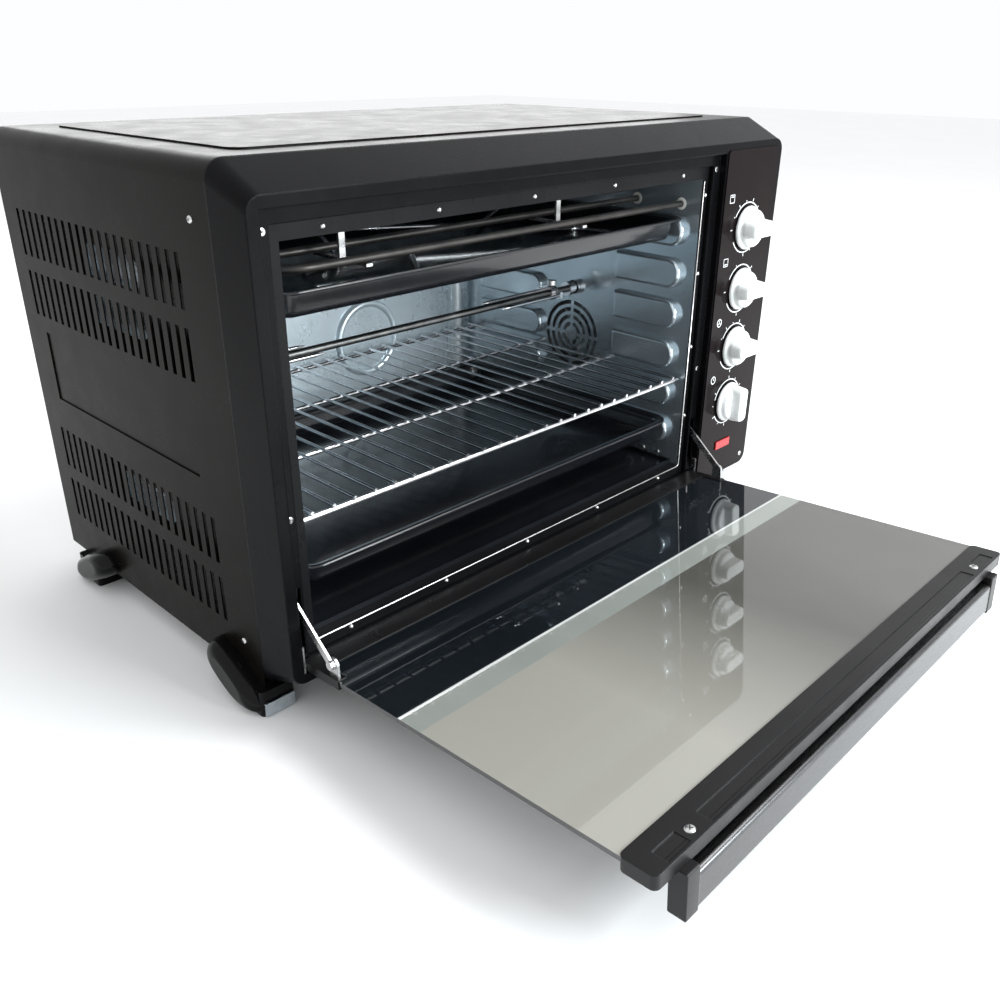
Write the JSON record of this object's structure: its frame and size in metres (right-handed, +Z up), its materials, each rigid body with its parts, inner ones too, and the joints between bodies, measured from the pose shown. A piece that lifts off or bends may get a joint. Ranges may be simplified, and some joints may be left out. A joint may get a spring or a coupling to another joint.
{
  "type": "rotisserie oven",
  "caption": "Bench-top electric oven with drop-down glass door, rotisserie spit, wire rack, baking trays, side convection fan and a column of round control knobs.",
  "frame": {"origin": "on the table under the middle of the whole footprint, the open door included", "axes": "+Z up, the door opens towards -Y, +X is to the right seen from the front"},
  "size_m": [0.746, 0.797, 0.4595],
  "materials": {
    "painted_case": "satin",
    "galvanised": "satin",
    "painted_front": "gloss",
    "enamel_black": "satin",
    "aluminised": "satin",
    "heater_tube": "satin",
    "white_ceramic": "matte",
    "bright_steel": "polished",
    "tray_enamel": "gloss",
    "chrome_wire": "polished",
    "panel_black": "gloss",
    "knob_white": "gloss",
    "brass_shaft": "satin",
    "black_plastic": "matte",
    "lamp_red": "gloss",
    "door_glass": "polished",
    "handle_aluminium": "satin",
    "foot_plastic": "gloss",
    "foot_chrome": "polished"
  },
  "bodies": {
    "case": {"case_shell": "painted_case", "rear_cover": "galvanised", "base_pan": "galvanised", "front_frame": "painted_front", "door_flange": "enamel_black", "flange_bumpers": "black_plastic", "liner_right": "aluminised", "liner_left": "aluminised", "liner_back": "aluminised", "liner_top": "aluminised", "liner_floor": "aluminised", "heater_upper": "heater_tube", "heater_lower": "heater_tube", "heater_caps": "white_ceramic", "heater_brackets": "bright_steel", "spit_bearing": "bright_steel", "spit_motor": "galvanised", "fan_shroud": "galvanised", "fan_motor": "galvanised", "control_panel": "panel_black", "timer": "black_plastic", "function_switch": "black_plastic", "thermostats": "galvanised", "indicator_lamp": "lamp_red", "hinge_plates": "bright_steel", "feet": "foot_plastic", "foot_faces": "foot_chrome", "case_screws": "bright_steel", "cord_gland": "black_plastic", "terminal_block": "white_ceramic", "liner_rails": "galvanised"},
    "door": {"door_glass": "door_glass", "door_low_trim": "black_plastic", "door_top_trim": "black_plastic", "door_screws": "bright_steel", "handle_bar": "handle_aluminium", "handle_ends": "black_plastic", "hinge_pins": "bright_steel", "arm_ears": "bright_steel"},
    "arm_left": {"link_arm_left": "bright_steel"},
    "arm_right": {"link_arm_right": "bright_steel"},
    "spit": {"spit_rod": "chrome_wire", "spit_forks": "chrome_wire", "fork_screws": "chrome_wire", "drive_socket": "chrome_wire"},
    "fan": {"fan_blade": "aluminised"},
    "rack": {"wire_rack": "chrome_wire"},
    "tray_upper": {"upper_tray": "tray_enamel", "spit_lifter": "chrome_wire", "tray_grip": "chrome_wire"},
    "tray_lower": {"lower_tray": "tray_enamel"},
    "tray_crumb": {"crumb_tray": "aluminised"},
    "knob_1_turning": {"knob_1": "knob_white", "shaft_1": "brass_shaft"},
    "knob_2_turning": {"knob_2": "knob_white", "shaft_2": "brass_shaft"},
    "knob_3_turning": {"knob_3": "knob_white", "shaft_3": "brass_shaft"},
    "knob_4_turning": {"knob_4": "knob_white", "shaft_4": "brass_shaft"}
  },
  "joints": [
    {"name": "door_hinge", "type": "hinge", "parent": "case", "child": "door", "pos_m": [-0.051, -0.03089, 0.057], "axis": [1, 0, 0], "range_deg": [-86.45, 0]},
    {"name": "arm_left_pivot", "type": "hinge", "parent": "door", "child": "arm_left", "pos_m": [-0.3345, -0.06786, 0.07482], "axis": [1, 0, 0], "range_deg": [0, 86.45]},
    {"name": "arm_right_pivot", "type": "hinge", "parent": "door", "child": "arm_right", "pos_m": [0.2325, -0.06786, 0.07482], "axis": [1, 0, 0], "range_deg": [0, 86.45]},
    {"name": "spit_turn", "type": "hinge", "parent": "case", "child": "spit", "pos_m": [0, 0.15551, 0.258], "axis": [1, 0, 0], "continuous": true},
    {"name": "fan_turn", "type": "hinge", "parent": "case", "child": "fan", "pos_m": [0.23, 0.15551, 0.1995], "axis": [1, 0, 0], "continuous": true},
    {"name": "rack_slide", "type": "slide", "parent": "case", "child": "rack", "axis": [0, -1, 0], "range_m": [0, 0.26]},
    {"name": "upper_tray_slide", "type": "slide", "parent": "case", "child": "tray_upper", "axis": [0, -1, 0], "range_m": [0, 0.26]},
    {"name": "lower_tray_slide", "type": "slide", "parent": "case", "child": "tray_lower", "axis": [0, -1, 0], "range_m": [0, 0.26]},
    {"name": "crumb_tray_slide", "type": "slide", "parent": "case", "child": "tray_crumb", "axis": [0, -1, 0], "range_m": [0, 0.1]},
    {"name": "knob_1_turn", "type": "hinge", "parent": "case", "child": "knob_1_turning", "pos_m": [0.288, -0.03449, 0.1385], "axis": [0, 1, 0], "range_deg": [0, 300]},
    {"name": "knob_2_turn", "type": "hinge", "parent": "case", "child": "knob_2_turning", "pos_m": [0.288, -0.03449, 0.2075], "axis": [0, 1, 0], "range_deg": [0, 270]},
    {"name": "knob_3_turn", "type": "hinge", "parent": "case", "child": "knob_3_turning", "pos_m": [0.288, -0.03449, 0.2765], "axis": [0, 1, 0], "range_deg": [0, 270]},
    {"name": "knob_4_turn", "type": "hinge", "parent": "case", "child": "knob_4_turning", "pos_m": [0.288, -0.03449, 0.3455], "axis": [0, 1, 0], "range_deg": [0, 270]}
  ],
  "couplings": [
    {"joint": "arm_left_pivot", "follows": "door_hinge", "ratio": -1},
    {"joint": "arm_right_pivot", "follows": "door_hinge", "ratio": -1}
  ]
}
